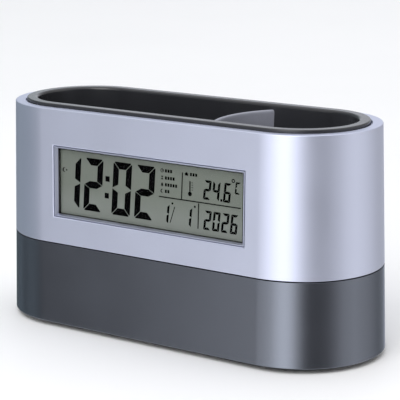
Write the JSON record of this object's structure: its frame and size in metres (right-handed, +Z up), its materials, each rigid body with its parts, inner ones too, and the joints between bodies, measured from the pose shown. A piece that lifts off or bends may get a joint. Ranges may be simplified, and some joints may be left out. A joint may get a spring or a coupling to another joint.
{
  "type": "desk clock pen holder",
  "caption": "Free-standing pen holder with a racetrack-shaped two-tone case, a divided pen tray in its top and a digital clock display with temperature and date in its front.",
  "frame": {"origin": "on the desk plane under the middle of the body", "axes": "+X towards the right hand end seen from the display, +Y from the display to the back, +Z up"},
  "size_m": [0.1648, 0.0642, 0.0889],
  "materials": {
    "silver_shell": "silver metallic paint on moulded plastic, satin",
    "silver_frame": "silver metallic paint, satin",
    "charcoal_base": "charcoal metallic paint on moulded plastic, satin",
    "charcoal_cover": "dark moulded plastic, fine texture",
    "charcoal_door": "charcoal metallic paint, satin",
    "tray_black": "dark grey moulded plastic, half matte",
    "clear_lens": "clear acrylic sheet, polished",
    "panel_glass": "grey-green reflective liquid crystal panel",
    "holder_plastic": "white moulded plastic",
    "contact_rubber": "layered conductive rubber strip",
    "board_green": "green circuit board",
    "resin_black": "black resin",
    "tinned_metal": "tinned sheet metal",
    "ceramic_tan": "tan ceramic block",
    "cable_grey": "grey flat cable",
    "cell_jacket": "printed cell jacket, plain colour bands",
    "spring_steel": "plated spring wire",
    "lead_red": "red insulated wire",
    "lead_black": "black insulated wire",
    "sounder_brass": "thin brass disc",
    "ceramic_white": "white piezo ceramic",
    "screw_steel": "plated steel screw",
    "foot_rubber": "black rubber pad",
    "button_charcoal": "charcoal moulded plastic",
    "switch_black": "black switch body",
    "plunger_white": "white switch plunger"
  },
  "bodies": {
    "case": {"upper_shell": "silver_shell", "window_frame": "silver_frame", "base_shell": "charcoal_base", "bottom_cover": "charcoal_cover", "pen_tray": "tray_black", "window_lens": "clear_lens", "lcd_panel": "panel_glass", "lcd_holder": "holder_plastic", "contact_strip_upper": "contact_rubber", "contact_strip_lower": "contact_rubber", "main_board": "board_green", "button_board": "board_green", "chip_dome": "resin_black", "quartz_crystal": "tinned_metal", "capacitor_1": "ceramic_tan", "capacitor_2": "ceramic_tan", "temperature_sensor": "resin_black", "button_cable": "cable_grey", "battery_1": "cell_jacket", "battery_2": "cell_jacket", "positive_contact": "tinned_metal", "negative_contact": "tinned_metal", "bridge_contact": "tinned_metal", "battery_spring_1": "spring_steel", "battery_spring_2": "spring_steel", "red_lead": "lead_red", "black_lead": "lead_black", "sounder_disc": "sounder_brass", "sounder_ceramic": "ceramic_white", "sounder_lead_1": "lead_red", "sounder_lead_2": "lead_black", "case_screw_1": "screw_steel", "case_screw_2": "screw_steel", "case_screw_3": "screw_steel", "case_screw_4": "screw_steel", "board_screw_1": "screw_steel", "board_screw_2": "screw_steel", "board_screw_3": "screw_steel", "board_screw_4": "screw_steel", "button_board_screw_1": "screw_steel", "button_board_screw_2": "screw_steel", "rubber_foot_1": "foot_rubber", "rubber_foot_2": "foot_rubber", "rubber_foot_3": "foot_rubber", "rubber_foot_4": "foot_rubber", "mode_switch": "switch_black", "set_switch": "switch_black", "up_switch": "switch_black", "down_switch": "switch_black"},
    "mode_press_button": {"mode_button": "button_charcoal", "mode_plunger": "plunger_white"},
    "set_press_button": {"set_button": "button_charcoal", "set_plunger": "plunger_white"},
    "up_press_button": {"up_button": "button_charcoal", "up_plunger": "plunger_white"},
    "down_press_button": {"down_button": "button_charcoal", "down_plunger": "plunger_white"},
    "door": {"battery_door": "charcoal_door"}
  },
  "joints": [
    {"name": "mode_press", "type": "slide", "parent": "case", "child": "mode_press_button", "axis": [0, -1, 0], "range_m": [0, 0.0005], "stiffness_N_per_m": 800},
    {"name": "set_press", "type": "slide", "parent": "case", "child": "set_press_button", "axis": [0, -1, 0], "range_m": [0, 0.0005], "stiffness_N_per_m": 800},
    {"name": "up_press", "type": "slide", "parent": "case", "child": "up_press_button", "axis": [0, -1, 0], "range_m": [0, 0.0005], "stiffness_N_per_m": 800},
    {"name": "down_press", "type": "slide", "parent": "case", "child": "down_press_button", "axis": [0, -1, 0], "range_m": [0, 0.0005], "stiffness_N_per_m": 800},
    {"name": "door_swing", "type": "hinge", "parent": "case", "child": "door", "pos_m": [0, 0.03202, 0.0048], "axis": [-1, 0, 0], "range_deg": [0, 90]}
  ]
}
